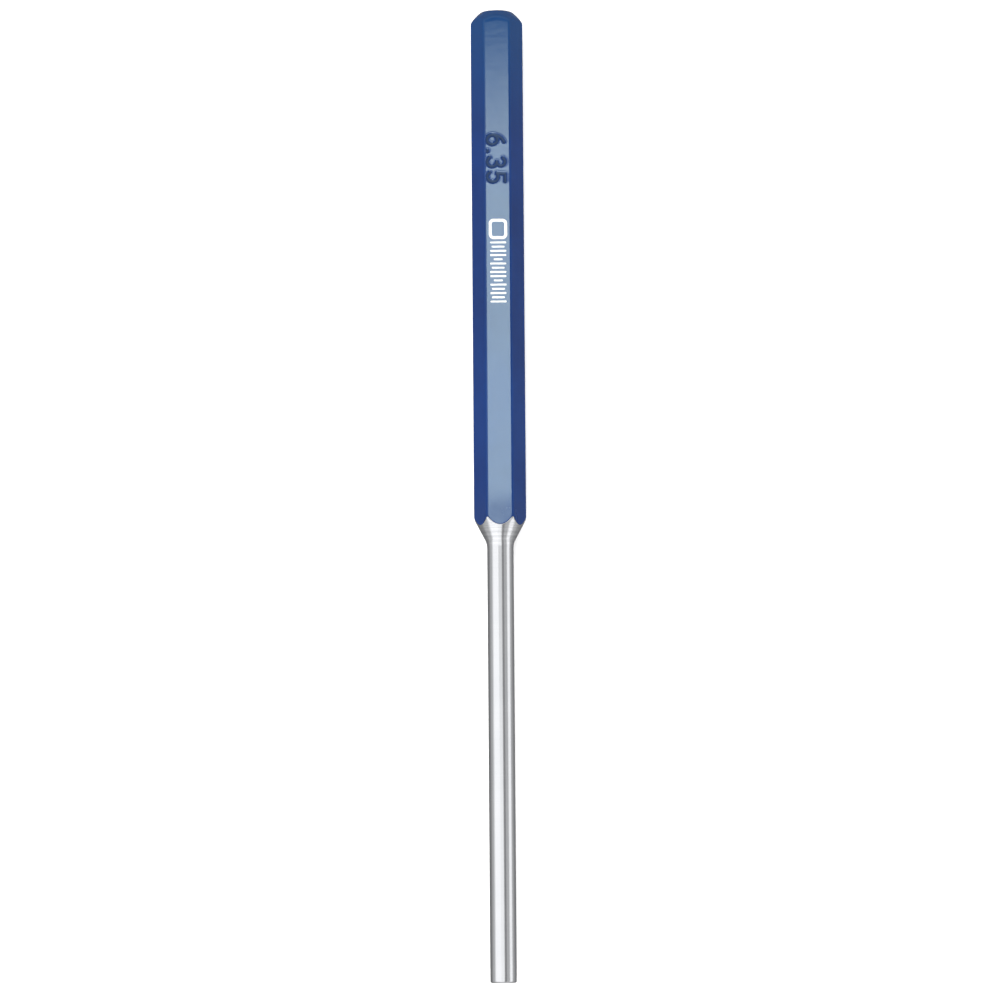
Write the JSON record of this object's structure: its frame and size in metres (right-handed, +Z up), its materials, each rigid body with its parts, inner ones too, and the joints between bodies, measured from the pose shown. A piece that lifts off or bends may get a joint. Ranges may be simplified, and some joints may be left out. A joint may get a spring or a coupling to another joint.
{
  "type": "pin punch",
  "caption": "Long parallel pin punch: hexagonal lacquered body with a chamfered struck head, turned cone and straight round shank with a flat tip.",
  "frame": {"origin": "on the surface that the punch lies on, under the middle of its length and on its centre line", "axes": "+Y along the punch's axis from the working tip to the struck head, +Z up out of the marked flat of the hexagon, +X across the hexagon's corners"},
  "size_m": [0.0126, 0.235, 0.0111],
  "materials": {
    "steel": "gloss",
    "lacquer": "gloss",
    "mark_ink": "satin"
  },
  "bodies": {
    "root": {"steel_punch": "steel", "lacquer_coat": "lacquer", "printed_mark": "mark_ink"}
  },
  "joints": []
}
